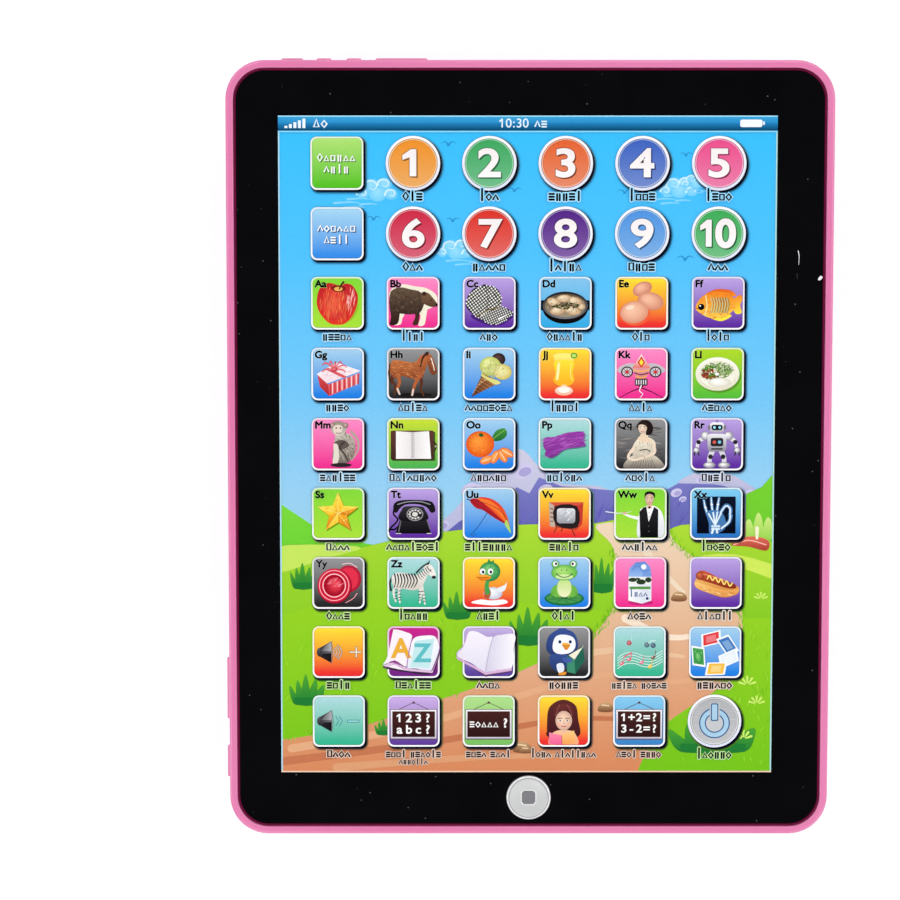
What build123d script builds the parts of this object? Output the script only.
from build123d import *
from math import cos, radians, sin, tan
import os

# Toy learning tablet: a pink two-part case, a printed touch panel, a push button, a speaker and three cells.
#
# Frame: millimetres. The tablet lies on its rubber feet with its face up: +X is to the right of the
# picture, +Y to its top edge and +Z out of it. The origin is on the surface below the middle of the tablet.

os.makedirs("parts", exist_ok=True)

# Case
case_width = 186.6
case_length = 240.0
case_depth = 23.0
corner_radius = 12.0
band_depth = 6.0
end_curve = 31.0
side_curve = 26.0
corner_growth = 0.8
wall = 2.2
rim_width = 2.4
rim_step = 0.8
foot_proud = 1.5

# Panel
overlay_thickness = 1.0
film_thickness = 0.25
deck_thickness = 1.65
panel_gap = 0.15
pocket_x = -0.8
pocket_y = 1.3
pocket_width = 162.0
pocket_length = 200.0
key_columns = 6
key_rows = 9
key_pitch_x = 23.42
key_pitch_y = 21.61
key_grid_x = -0.7
key_grid_y = 2.1
key_radius = 6.5

# Levels, from the surface that the tablet lies on
back_z = foot_proud
parting_z = back_z + case_depth - band_depth
front_z = back_z + case_depth
panel_top_z = front_z - rim_step
ledge_z = panel_top_z - overlay_thickness
pocket_z = ledge_z - 3 * film_thickness
deck_z = pocket_z - deck_thickness
floor_z = back_z + wall
case_joint_z = 12.0

# Home button, its rubber dome and its small board
button_x = 0.0
button_y = -108.6
button_radius = 6.9
button_hole_radius = 7.15
button_proud = 0.5
button_ear_z = 19.0
button_ear_thickness = 1.2
key_board_z = 14.6
board_thickness = 1.6
key_board_top_z = key_board_z + board_thickness
dome_height = 2.6
dome_top_z = key_board_top_z + dome_height
key_board_width = 36.0
key_board_length = 12.0
key_post_x = 14.0
board_screw_radius = 1.0

# Main board
board_x = -50.0
board_y = 14.0
board_width = 54.0
board_length = 46.0
board_z = 15.4
board_top_z = board_z + board_thickness
board_post_dx = 23.0
board_post_dy = 19.0
post_radius = 2.5
tail_y = 40.0
tail_width = 14.0
socket_y = 32.5
socket_width = 18.0
socket_length = 5.0
socket_height = 2.4
socket_slot_z = board_top_z + 1.25

# Battery bay: three AA cells side by side, lying along X
cell_radius = 7.1
cell_length = 50.5
nub_radius = 2.75
nub_length = 1.2
cell_pitch = 15.2
cell_z = 10.9
bay_y = -38.0
bay_half_x = 28.0
bay_half_y = 23.0
bay_wall = 1.6
bay_inner_z = 18.4
contact_thickness = 0.4
contact_height = 11.0
contact_single = 9.0
tab_z = 15.8
tab_width = 4.0
tab_reach = 3.5
spring_wire = 0.8
spring_turns = 3

# Battery door, which swings on two hook tabs at its upper edge
grip_grooves = 4
grip_depth = 0.5
door_half_x = 32.0
door_near_y = -12.3
door_far_y = -72.0
door_thickness = 1.8
door_corner = 3.0
door_gap = 0.3
hook_x = 18.0
hook_width = 8.0
hook_thickness = 1.1
hook_z = 3.9
hook_reach_y = -9.8
riser_y = -14.2
door_screw_y = -67.0
door_screw_seat_z = 3.1
pad_top_z = 4.5
pad_radius = 4.0
ledge_top_z = 4.9

# Speaker
speaker_y = 60.0
speaker_radius = 20.0
speaker_seat_z = 5.0
speaker_flange = 0.8
speaker_post_ring = 23.0
speaker_post_height = speaker_seat_z + speaker_flange
grille_hole_radius = 1.0
grille_ring_pitch = 4.4
grille_rings = 3

# Feet and case screws
foot_radius = 6.0
foot_recess = 0.7
foot_x = 50.0
foot_y = 77.0
case_screw_spots = [(-78, -100), (78, -100), (-78, 100), (78, 100), (-82, 0), (82, 0)]
case_screw_seat_z = 8.5
case_screw_radius = 1.3
case_boss_radius = 4.2
case_post_radius = 3.2

wire_radius = 0.6

foot_spots = {
    "rubber_foot_top_left": (-foot_x, foot_y),
    "rubber_foot_top_right": (foot_x, foot_y),
    "rubber_foot_bottom_left": (-foot_x, -foot_y),
    "rubber_foot_bottom_right": (foot_x, -foot_y),
}
button_spot = (button_x, button_y)
key_post_spots = [(button_x - key_post_x, button_y), (button_x + key_post_x, button_y)]
board_post_spots = [
    (board_x + side * board_post_dx, board_y + end * board_post_dy) for side in (-1, 1) for end in (-1, 1)
]
speaker_post_turn = 30


def save(part, name):
    """Label a finished piece and write it to its own STEP file."""
    part.label = name
    export_step(part, f"parts/{name}.step")


def slab(width, length, radius, low, high, x=0.0, y=0.0, mode=Mode.ADD):
    """Upright block with round corners between two levels, in the current part."""
    with BuildSketch(Plane.XY.offset(low)) as outline:
        with Locations((x, y)):
            RectangleRounded(width, length, radius)
    extrude(outline.sketch, amount=high - low, mode=mode)


def block(x_range, y_range, z_range, mode=Mode.ADD):
    """Plain block between two corners, in the current part."""
    ranges = (x_range, y_range, z_range)
    with Locations([tuple((low + high) / 2 for low, high in ranges)]):
        Box(*[high - low for low, high in ranges], mode=mode)


def posts(spots, radius, low, high, mode=Mode.ADD):
    """Upright cylinders at the given spots between two levels, in the current part."""
    with BuildSketch(Plane.XY.offset(low)) as discs:
        with Locations(*spots):
            Circle(radius)
    extrude(discs.sketch, amount=high - low, mode=mode)


def turned(*profile, x=0.0, y=0.0):
    """Solid of revolution about an upright axis, from points of (radius, level), in the current part."""
    with BuildSketch(Plane(origin=(x, y, 0), x_dir=(1, 0, 0), z_dir=(0, -1, 0))) as half_section:
        with BuildLine():
            Polyline(*profile, close=True)
        make_face()
    revolve(half_section.sketch, axis=Axis((x, y, 0), (0, 0, 1)))


def curved_tub(inset, drop):
    """Loft of the case's back: the full outline at the parting line, curving in to a flat bottom."""
    stations = 7
    outlines = []
    for station in range(stations):
        turn = radians(90 * station / (stations - 1))
        reach_x = inset + side_curve * (1 - cos(turn))
        reach_y = inset + end_curve * (1 - cos(turn))
        radius = corner_radius - inset + corner_growth * side_curve * (1 - cos(turn))
        with BuildSketch(Plane.XY.offset(parting_z - drop * sin(turn))) as outline:
            RectangleRounded(case_width - 2 * reach_x, case_length - 2 * reach_y, radius)
        outlines.append(outline.sketch)
    loft(outlines)


def screw(head_radius, head_height, shank_radius, shank_length):
    """Cross-head self-tapping screw, with its head below z = 0 and its shank above."""
    with BuildPart() as one_screw:
        posts([(0, 0)], head_radius, -head_height, 0)
        fillet(one_screw.faces().sort_by(Axis.Z)[0].edges(), 0.35 * head_height)
        posts([(0, 0)], shank_radius, 0, shank_length)
        chamfer(one_screw.faces().sort_by(Axis.Z)[-1].edges(), 0.6 * shank_radius)
        with BuildSketch(Plane.XY.offset(-head_height)):
            Rectangle(1.2 * head_radius, 0.26 * head_radius)
            Rectangle(0.26 * head_radius, 1.2 * head_radius)
        extrude(amount=0.6 * head_height, mode=Mode.SUBTRACT)
    return one_screw.part


def bend_radii(points):
    """The largest arc that fits each corner of a wire's route."""
    radii = []
    for before, corner, after in zip(points, points[1:], points[2:]):
        arriving = Vector(corner) - Vector(before)
        leaving = Vector(after) - Vector(corner)
        half_turn = radians(arriving.get_angle(leaving)) / 2
        radii.append(0.45 * min(arriving.length, leaving.length) / tan(half_turn))
    return radii


def wire(name, points):
    """Insulated lead along a route of straight runs joined by arcs."""
    with BuildPart() as lead:
        with BuildLine() as route:
            FilletPolyline(*points, radius=bend_radii(points))
        with BuildSketch(Plane(origin=points[0], z_dir=Vector(points[1]) - Vector(points[0]))):
            Circle(wire_radius)
        sweep(path=route.wires()[0])
    save(lead.part, name)


# ----- Front frame: the rim, the deck that carries the panel, and the posts for boards and case screws -----


def edge_key(centre, length, on_top_edge, proud):
    """Imitation key moulded on the frame's outer edge: a low pad with round ends."""
    pad_height = 3.2
    pad_z = parting_z + 1.9
    sunk = 0.5
    if on_top_edge:
        face = Plane(origin=(centre, case_length / 2 - sunk, pad_z), x_dir=(1, 0, 0), z_dir=(0, 1, 0))
    else:
        face = Plane(origin=(-case_width / 2 + sunk, centre, pad_z), x_dir=(0, 1, 0), z_dir=(-1, 0, 0))
    with BuildSketch(face) as pad:
        SlotOverall(length, pad_height)
    extrude(pad.sketch, amount=proud + sunk, taper=14)


with BuildPart() as front_frame:
    slab(case_width, case_length, corner_radius, parting_z, front_z)
    fillet(front_frame.faces().sort_by(Axis.Z)[-1].edges(), 0.9)
    chamfer(front_frame.faces().sort_by(Axis.Z)[0].edges(), 0.3)
    opening_width = case_width - 2 * rim_width
    opening_length = case_length - 2 * rim_width
    slab(opening_width, opening_length, corner_radius - rim_width, ledge_z, front_z, mode=Mode.SUBTRACT)
    rim_face = front_frame.faces().filter_by(GeomType.PLANE).sort_by(Axis.Z)[-1]
    fillet(rim_face.inner_wires()[0].edges(), 0.3)
    slab(
        case_width - 2 * wall,
        case_length - 2 * wall,
        corner_radius - wall,
        parting_z,
        deck_z,
        mode=Mode.SUBTRACT,
    )
    slab(pocket_width, pocket_length, 3, pocket_z, ledge_z, pocket_x, pocket_y, mode=Mode.SUBTRACT)
    posts(case_screw_spots, case_post_radius, case_joint_z, deck_z)
    posts(case_screw_spots, case_screw_radius, case_joint_z, case_joint_z + 7, mode=Mode.SUBTRACT)
    posts(key_post_spots, post_radius, key_board_top_z, deck_z)
    posts(key_post_spots, board_screw_radius, key_board_top_z, key_board_top_z + 4, mode=Mode.SUBTRACT)
    posts(board_post_spots, post_radius, board_top_z, deck_z)
    posts(board_post_spots, board_screw_radius, board_top_z, board_top_z + 4, mode=Mode.SUBTRACT)
    posts([button_spot], button_hole_radius, deck_z, ledge_z, mode=Mode.SUBTRACT)
    slab(tail_width + 3, 2.5, 1.2, deck_z, ledge_z, board_x, tail_y, mode=Mode.SUBTRACT)
    for centre, length in ((-74.4, 19.9), (-97.5, 10.5)):
        edge_key(centre, length, on_top_edge=False, proud=0.8)
    for centre, length in ((-72.9, 7.1), (-63.2, 4.9), (-54.0, 4.9), (-39.4, 16.3)):
        edge_key(centre, length, on_top_edge=True, proud=0.6)
save(front_frame.part, "front_frame")


# ----- Printed panel and the touch membrane under it -----

with BuildPart() as screen_overlay:
    overlay_width = opening_width - 2 * panel_gap
    overlay_length = opening_length - 2 * panel_gap
    slab(overlay_width, overlay_length, corner_radius - rim_width - panel_gap, ledge_z, panel_top_z)
    chamfer(screen_overlay.faces().sort_by(Axis.Z)[-1].edges(), 0.2)
    posts([button_spot], button_hole_radius, ledge_z, panel_top_z, mode=Mode.SUBTRACT)
save(screen_overlay.part, "screen_overlay")

film_width = pocket_width - 2 * panel_gap
film_length = pocket_length - 2 * panel_gap


def film(level, mode=Mode.ADD):
    """One sheet of the touch membrane."""
    slab(film_width, film_length, 2.8, level, level + film_thickness, pocket_x, pocket_y, mode)


with BuildPart() as membrane_top_film:
    film(pocket_z + 2 * film_thickness)
save(membrane_top_film.part, "membrane_top_film")

with BuildPart() as membrane_spacer:
    film(pocket_z + film_thickness)
    with BuildSketch(Plane.XY.offset(pocket_z + film_thickness)):
        with Locations((key_grid_x, key_grid_y)):
            with GridLocations(key_pitch_x, key_pitch_y, key_columns, key_rows):
                Circle(key_radius)
    extrude(amount=film_thickness, mode=Mode.SUBTRACT)
save(membrane_spacer.part, "membrane_spacer")

with BuildPart() as membrane_bottom_film:
    film(pocket_z)
    with BuildSketch(Plane.YZ.offset(board_x - tail_width / 2)):
        with BuildLine():
            FilletPolyline(
                (tail_y, pocket_z + film_thickness / 2),
                (tail_y, socket_slot_z),
                (socket_y + socket_length / 2 - 2.5, socket_slot_z),
                radius=1.5,
            )
        trace(line_width=film_thickness)
    extrude(amount=tail_width)
save(membrane_bottom_film.part, "membrane_bottom_film")


# ----- Home button -----

with BuildPart() as home_button:
    button_top_z = panel_top_z + button_proud
    posts([button_spot], button_radius, button_ear_z, button_top_z)
    fillet(home_button.faces().sort_by(Axis.Z)[-1].edges(), 0.5)
    slab(18, 6, 1.5, button_ear_z, button_ear_z + button_ear_thickness, button_x, button_y)
    dish_width = 5.6
    dish_depth = 0.5
    patch = 4.4
    patch_z = button_top_z - dish_depth - 0.25
    dish_radius = (dish_width**2 + dish_depth**2) / (2 * dish_depth)
    with Locations((button_x, button_y, button_top_z - dish_depth + dish_radius)):
        Sphere(dish_radius, mode=Mode.SUBTRACT)
    slab(patch, patch, 1.0, patch_z, button_top_z, button_x, button_y, mode=Mode.SUBTRACT)
    posts([button_spot], 3.0, dome_top_z + 0.05, button_ear_z)
save(home_button.part, "home_button")

with BuildPart() as button_dome:
    turned(
        (0, dome_top_z),
        (3, dome_top_z),
        (3.4, dome_top_z - 0.8),
        (5.2, key_board_top_z + 0.6),
        (6.2, key_board_top_z + 0.6),
        (6.2, key_board_top_z),
        (4.9, key_board_top_z),
        (2.9, dome_top_z - 1.0),
        (1.6, dome_top_z - 1.0),
        (1.6, key_board_top_z + 1.1),
        (0, key_board_top_z + 1.1),
        x=button_x,
        y=button_y,
    )
save(button_dome.part, "button_dome")

with BuildPart() as key_board:
    slab(key_board_width, key_board_length, 1, key_board_z, key_board_top_z, button_x, button_y)
    posts(key_post_spots, board_screw_radius + 0.1, key_board_z, key_board_top_z, mode=Mode.SUBTRACT)
save(key_board.part, "key_board")

board_screw = screw(2.0, 1.3, board_screw_radius, 5.2)
with BuildPart() as key_board_screws:
    with Locations(*[(x, y, key_board_z) for x, y in key_post_spots]):
        add(board_screw)
save(key_board_screws.part, "key_board_screws")


# ----- Main board and what is soldered to it -----

with BuildPart() as main_board:
    slab(board_width, board_length, 1.5, board_z, board_top_z, board_x, board_y)
    posts(board_post_spots, board_screw_radius + 0.1, board_z, board_top_z, mode=Mode.SUBTRACT)
save(main_board.part, "main_board")

with BuildPart() as main_board_screws:
    with Locations(*[(x, y, board_z) for x, y in board_post_spots]):
        add(board_screw)
save(main_board_screws.part, "main_board_screws")

with BuildPart() as chip_cover:
    chip_spot = (board_x - 8, board_y + 6)
    turned(
        (0, board_z),
        (6.5, board_z),
        (6.2, board_z - 0.6),
        (5.0, board_z - 1.5),
        (2.8, board_z - 2.1),
        (0, board_z - 2.3),
        x=chip_spot[0],
        y=chip_spot[1],
    )
save(chip_cover.part, "chip_cover")

with BuildPart() as electrolytic_capacitor:
    can_x = board_x + 10
    can_y = board_y - 9
    can_z = board_z - 4.1
    with BuildSketch(Plane.YZ.offset(can_x - 6)):
        with Locations((can_y, can_z)):
            Circle(4)
    extrude(amount=12)
    fillet(electrolytic_capacitor.edges().filter_by(GeomType.CIRCLE), 0.6)
    for side in (-1.6, 1.6):
        with BuildSketch(Plane.XZ.offset(-can_y - side)):
            with BuildLine():
                FilletPolyline(
                    (can_x + 5.5, can_z), (can_x + 8, can_z), (can_x + 8, board_z), radius=1.2
                )
            trace(line_width=0.6)
        extrude(amount=0.3, both=True)
save(electrolytic_capacitor.part, "electrolytic_capacitor")

with BuildPart() as amplifier_transistor:
    case_x = board_x + 16
    case_y = board_y + 8
    with BuildSketch(Plane.XY.offset(board_z - 7.5)):
        with Locations((case_x, case_y)):
            Circle(2.4)
            Rectangle(5.2, 3, align=(Align.CENTER, Align.MAX), mode=Mode.SUBTRACT)
    extrude(amount=4.5)
    for lead_x in (-1.3, 0, 1.3):
        leg_x = (case_x + lead_x - 0.25, case_x + lead_x + 0.25)
        block(leg_x, (case_y + 0.5, case_y + 1.0), (board_z - 3.2, board_z))
save(amplifier_transistor.part, "amplifier_transistor")

with BuildPart() as surface_parts:
    with BuildSketch(Plane.XY.offset(board_z)):
        with Locations((board_x - 14, board_y - 12)):
            with GridLocations(4.4, 3.4, 4, 3):
                Rectangle(3.0, 1.5)
    extrude(amount=-0.6)
save(surface_parts.part, "surface_parts")

with BuildPart() as membrane_connector:
    socket_top_z = board_top_z + socket_height
    slab(socket_width, socket_length, 0.5, board_top_z, socket_top_z, board_x, socket_y)
    slot_x = (board_x - tail_width / 2 - 0.2, board_x + tail_width / 2 + 0.2)
    slot_y = (socket_y + socket_length / 2 - 3, socket_y + socket_length / 2)
    block(slot_x, slot_y, (socket_slot_z - 0.25, socket_slot_z + 0.25), mode=Mode.SUBTRACT)
save(membrane_connector.part, "membrane_connector")


# ----- Rear cover: curved shell with the battery bay, the speaker seat, screw bosses and foot recesses -----

bay_near_y = bay_y + bay_half_y
bay_far_y = bay_y - bay_half_y
door_middle_y = (door_near_y + door_far_y) / 2
door_length = door_near_y - door_far_y
door_inner_z = back_z + door_thickness
speaker_spot = (0, speaker_y)
hook_notch_z = 6.5
tab_slots = [(bay_half_x, bay_y + cell_pitch), (-bay_half_x, bay_y - cell_pitch)]

with BuildPart() as inside_space:
    curved_tub(wall, case_depth - band_depth - wall)
    posts(case_screw_spots, case_boss_radius, 0, case_joint_z, mode=Mode.SUBTRACT)
    block(
        (-bay_half_x - bay_wall, bay_half_x + bay_wall),
        (bay_far_y - bay_wall, bay_near_y + bay_wall),
        (0, bay_inner_z + 1.2),
        mode=Mode.SUBTRACT,
    )
    slab(2 * door_half_x + 5, door_length + 5, 4, 0, ledge_top_z, 0, door_middle_y, mode=Mode.SUBTRACT)
    posts([(0, door_screw_y)], pad_radius + 1.6, 0, case_joint_z, mode=Mode.SUBTRACT)
    with BuildSketch(Plane.XY):
        with Locations(speaker_spot):
            Circle(speaker_radius + 1.6)
            with PolarLocations(speaker_post_ring, 3, start_angle=speaker_post_turn):
                Circle(post_radius)
    extrude(amount=speaker_post_height, mode=Mode.SUBTRACT)
    posts([speaker_spot], speaker_radius - 2.5, floor_z, speaker_post_height)
    posts([speaker_spot], speaker_radius + 0.2, speaker_seat_z, speaker_post_height)

with BuildPart() as rear_cover:
    curved_tub(0, case_depth - band_depth)
    add(inside_space.part, mode=Mode.SUBTRACT)
    # Lip that locates the cover inside the frame
    lip_offset = wall + 0.1
    lip_width = 1.0
    with BuildSketch(Plane.XY.offset(parting_z - 1.2)):
        for inset, mode in ((lip_offset, Mode.ADD), (lip_offset + lip_width, Mode.SUBTRACT)):
            lip_x = case_width - 2 * inset
            lip_y = case_length - 2 * inset
            RectangleRounded(lip_x, lip_y, corner_radius - inset, mode=mode)
    extrude(amount=2.4)
    # Battery bay, its door opening, and the notches that the door's hooks swing in
    block((-bay_half_x, bay_half_x), (bay_far_y, bay_near_y), (0, bay_inner_z), mode=Mode.SUBTRACT)
    slab(
        2 * (door_half_x + door_gap),
        door_length + 2 * door_gap,
        door_corner + door_gap,
        0,
        door_inner_z + 0.05,
        0,
        door_middle_y,
        mode=Mode.SUBTRACT,
    )
    for side in (-hook_x, hook_x):
        notch_x = (side - hook_width / 2 - 0.5, side + hook_width / 2 + 0.5)
        notch_y = (bay_near_y - 0.1, door_near_y + door_gap)
        block(notch_x, notch_y, (door_inner_z, hook_notch_z), mode=Mode.SUBTRACT)
        block(notch_x, (door_near_y, hook_reach_y + 0.8), (floor_z, hook_notch_z), mode=Mode.SUBTRACT)
    posts([(0, door_screw_y)], pad_radius + 0.4, door_inner_z, pad_top_z + 0.1, mode=Mode.SUBTRACT)
    posts([(0, door_screw_y)], 1.6, door_inner_z, case_joint_z - 1.5, mode=Mode.SUBTRACT)
    # Slots for the two solder tabs of the battery contacts
    for x, y in tab_slots:
        with Locations((x, y, tab_z)):
            Box(2 * bay_wall + 0.4, tab_width + 0.6, 0.8, mode=Mode.SUBTRACT)
    # Case screws, entered from the back
    posts(case_screw_spots, case_screw_radius + 0.3, 0, case_joint_z, mode=Mode.SUBTRACT)
    posts(case_screw_spots, 3.0, 0, case_screw_seat_z, mode=Mode.SUBTRACT)
    # Speaker posts and the ringed grille
    with BuildSketch(Plane.XY.offset(speaker_post_height)):
        with Locations(speaker_spot):
            with PolarLocations(speaker_post_ring, 3, start_angle=speaker_post_turn):
                Circle(board_screw_radius)
    extrude(amount=-3.2, mode=Mode.SUBTRACT)
    with BuildSketch(Plane.XY):
        with Locations(speaker_spot):
            Circle(grille_hole_radius)
            for ring in range(1, grille_rings + 1):
                with PolarLocations(ring * grille_ring_pitch, 6 * ring):
                    Circle(grille_hole_radius)
    extrude(amount=floor_z + 0.1, mode=Mode.SUBTRACT)
    posts(list(foot_spots.values()), foot_radius + 0.1, 0, back_z + foot_recess, mode=Mode.SUBTRACT)
save(rear_cover.part, "rear_cover")

case_screw = screw(2.7, 1.7, case_screw_radius, 9.5)
with BuildPart() as case_screws:
    with Locations(*[(x, y, case_screw_seat_z) for x, y in case_screw_spots]):
        add(case_screw)
save(case_screws.part, "case_screws")

for name, spot in foot_spots.items():
    with BuildPart() as rubber_foot:
        posts([spot], foot_radius, 0, foot_proud + foot_recess)
        fillet(rubber_foot.faces().sort_by(Axis.Z)[0].edges(), 0.5)
    save(rubber_foot.part, name)


# ----- Battery door and its screw -----

with BuildPart() as battery_door:
    slab(2 * door_half_x, door_length, door_corner, back_z, door_inner_z, 0, door_middle_y)
    chamfer(battery_door.faces().sort_by(Axis.Z)[0].edges(), 0.3)
    posts([(0, door_screw_y)], pad_radius, door_inner_z, pad_top_z)
    for side in (-hook_x, hook_x):
        hook_x_range = (side - hook_width / 2, side + hook_width / 2)
        hook_top_z = hook_z + hook_thickness
        block(hook_x_range, (riser_y, door_near_y - 0.2), (door_inner_z, hook_top_z))
        block(hook_x_range, (riser_y, hook_reach_y), (hook_z, hook_top_z))
    # Ribs that stand in the gaps between the cells
    rib_x = (-bay_half_x + 4, bay_half_x - 4)
    for rib_y in (bay_y - cell_pitch / 2, bay_y + cell_pitch / 2):
        block(rib_x, (rib_y - 0.5, rib_y + 0.5), (door_inner_z, door_inner_z + 1.2))
    # Grip grooves for the thumb, short of the screw
    for groove in range(grip_grooves):
        groove_y = door_far_y + 12 + 2.2 * groove
        slab(16, 1.1, 0.5, back_z, back_z + grip_depth, 0, groove_y, mode=Mode.SUBTRACT)
    posts([(0, door_screw_y)], 2.8, back_z, door_screw_seat_z, mode=Mode.SUBTRACT)
    posts([(0, door_screw_y)], case_screw_radius + 0.2, back_z, pad_top_z, mode=Mode.SUBTRACT)
save(battery_door.part, "battery_door")

door_screw = screw(2.5, 1.4, case_screw_radius, 3.4)
with BuildPart() as battery_door_screw:
    with Locations((0, door_screw_y, door_screw_seat_z)):
        add(door_screw)
save(battery_door_screw.part, "battery_door_screw")


# ----- Cells and their contacts -----

contact_x = bay_half_x - contact_thickness
contact_z = (cell_z - contact_height / 2, cell_z + contact_height / 2)
cells = {
    "battery_upper": (bay_y + cell_pitch, 1),
    "battery_middle": (bay_y, -1),
    "battery_lower": (bay_y - cell_pitch, 1),
}

for name, (y, pole_side) in cells.items():
    with BuildPart() as battery:
        pole_plane = Plane(origin=(pole_side * contact_x, y, cell_z), z_dir=(-pole_side, 0, 0))
        with BuildSketch(pole_plane):
            Circle(nub_radius)
        extrude(amount=nub_length + 0.1)
        with BuildSketch(pole_plane.offset(nub_length)):
            Circle(cell_radius)
        extrude(amount=cell_length - nub_length)
        fillet(battery.edges().filter_by(GeomType.CIRCLE).group_by(SortBy.LENGTH)[-1], 0.7)
    save(battery.part, name)

with BuildPart() as battery_contacts:
    single = contact_single / 2
    double = contact_single / 2 + cell_pitch / 2
    plates = (
        (1, bay_y + cell_pitch, single),
        (-1, bay_y - cell_pitch, single),
        (-1, bay_y + cell_pitch / 2, double),
        (1, bay_y - cell_pitch / 2, double),
    )
    for side, y, half_width in plates:
        inner, outer = side * contact_x, side * bay_half_x
        block((min(inner, outer), max(inner, outer)), (y - half_width, y + half_width), contact_z)
    for side, y in ((1, bay_y + cell_pitch), (-1, bay_y - cell_pitch)):
        inner, outer = side * contact_x, side * (bay_half_x + tab_reach)
        tab_y = (y - tab_width / 2, y + tab_width / 2)
        block((min(inner, outer), max(inner, outer)), tab_y, (tab_z - 0.2, tab_z + 0.2))
save(battery_contacts.part, "battery_contacts")

with BuildPart() as battery_springs:
    spring_gap = 2 * contact_x - cell_length
    spring_rise = spring_gap - spring_wire
    for y, pole_side in cells.values():
        with BuildLine() as coil:
            Helix(
                pitch=spring_rise / spring_turns,
                height=spring_rise,
                radius=4.2,
                center=(-pole_side * (contact_x - spring_wire / 2), y, cell_z),
                direction=(pole_side, 0, 0),
                cone_angle=-20,
            )
        with BuildSketch(Plane(origin=coil.line @ 0, z_dir=coil.line % 0)):
            Circle(spring_wire / 2)
        sweep(path=coil.line, is_frenet=True)
save(battery_springs.part, "battery_springs")


# ----- Speaker -----

speaker_back_z = 10.5
speaker_top_z = speaker_seat_z + speaker_flange
speaker_tab_reach = 15.5

with BuildPart() as speaker_basket:
    turned(
        (17.3, speaker_seat_z),
        (speaker_radius, speaker_seat_z),
        (speaker_radius, speaker_top_z),
        (17.9, speaker_top_z),
        (11.6, speaker_back_z + 1),
        (0, speaker_back_z + 1),
        (0, speaker_back_z),
        (11.0, speaker_back_z),
        (17.3, speaker_top_z),
        x=0,
        y=speaker_y,
    )
    tab_y_range = (speaker_y - 4, speaker_y + 4)
    block((-speaker_tab_reach, -10), tab_y_range, (speaker_back_z, speaker_back_z + 1))
save(speaker_basket.part, "speaker_basket")

with BuildPart() as speaker_cone:
    turned(
        (17.3, speaker_seat_z + 0.1),
        (16.6, speaker_seat_z - 0.3),
        (15.8, speaker_seat_z + 0.1),
        (6.0, speaker_seat_z + 3.4),
        (4.6, speaker_seat_z + 2.2),
        (2.6, speaker_seat_z + 1.6),
        (0, speaker_seat_z + 1.4),
        (0, speaker_seat_z + 1.8),
        (2.5, speaker_seat_z + 2.0),
        (4.3, speaker_seat_z + 2.6),
        (5.9, speaker_seat_z + 4.0),
        (16.0, speaker_seat_z + 0.5),
        (16.6, speaker_seat_z + 0.1),
        (17.3, speaker_seat_z + 0.5),
        x=0,
        y=speaker_y,
    )
save(speaker_cone.part, "speaker_cone")

with BuildPart() as speaker_magnet:
    posts([speaker_spot], 10.5, speaker_back_z + 1, speaker_back_z + 6)
    chamfer(speaker_magnet.edges(), 0.4)
save(speaker_magnet.part, "speaker_magnet")

washer_screw = screw(4.0, 1.3, board_screw_radius, 3.0)
with BuildPart() as speaker_screws:
    with Locations(speaker_spot):
        with PolarLocations(speaker_post_ring, 3, start_angle=speaker_post_turn):
            with Locations(Location((0, 0, speaker_post_height), (180, 0, 0))):
                add(washer_screw)
save(speaker_screws.part, "speaker_screws")


# ----- Leads, each from its terminal to the underside of the main board -----

cell_tab_x = bay_half_x + tab_reach
speaker_tab_z = speaker_back_z + 0.5
key_lead_z = key_board_z + board_thickness / 2
key_lead_x = button_x - key_board_width / 2

leads = {
    "battery_wire_red": [
        (cell_tab_x, bay_y + cell_pitch, tab_z),
        (37, bay_y + cell_pitch, tab_z),
        (40, -9, 13),
        (29, 1, 11),
        (8, 5, 10.5),
        (-13, 2, 10),
        (-33, -5, 9.5),
        (-33, -5, board_z),
    ],
    "battery_wire_black": [
        (-cell_tab_x, bay_y - cell_pitch, tab_z),
        (-37, bay_y - cell_pitch, tab_z),
        (-40, -40, 13),
        (-38, -22, 10.5),
        (-38, -5, 9.5),
        (-38, -5, board_z),
    ],
    "speaker_wire_red": [
        (-speaker_tab_reach, speaker_y + 2, speaker_tab_z),
        (-22, speaker_y + 2, speaker_tab_z),
        (-32, 54, 11.5),
        (-37, 42, 11),
        (-36, 30, 9.5),
        (-36, 30, board_z),
    ],
    "speaker_wire_black": [
        (-speaker_tab_reach, speaker_y - 2, speaker_tab_z),
        (-21, speaker_y - 2, speaker_tab_z),
        (-29, 50, 11),
        (-33, 40, 10.5),
        (-32, 29, 9.5),
        (-32, 29, board_z),
    ],
    "key_wire_left": [
        (key_lead_x, button_y - 1.5, key_lead_z),
        (-30, button_y - 1.5, key_lead_z),
        (-46, -100, 13),
        (-50, -79, 12),
        (-49, -55, 12.5),
        (-50, -30, 11.5),
        (-48, -6, 9.5),
        (-48, -6, board_z),
    ],
    "key_wire_right": [
        (key_lead_x, button_y + 1.5, key_lead_z),
        (-29, button_y + 1.5, key_lead_z),
        (-43, -98, 13),
        (-46, -79, 12),
        (-45, -55, 12.5),
        (-46, -30, 11.5),
        (-44, -6, 9.5),
        (-44, -6, board_z),
    ],
}
for name, points in leads.items():
    wire(name, points)
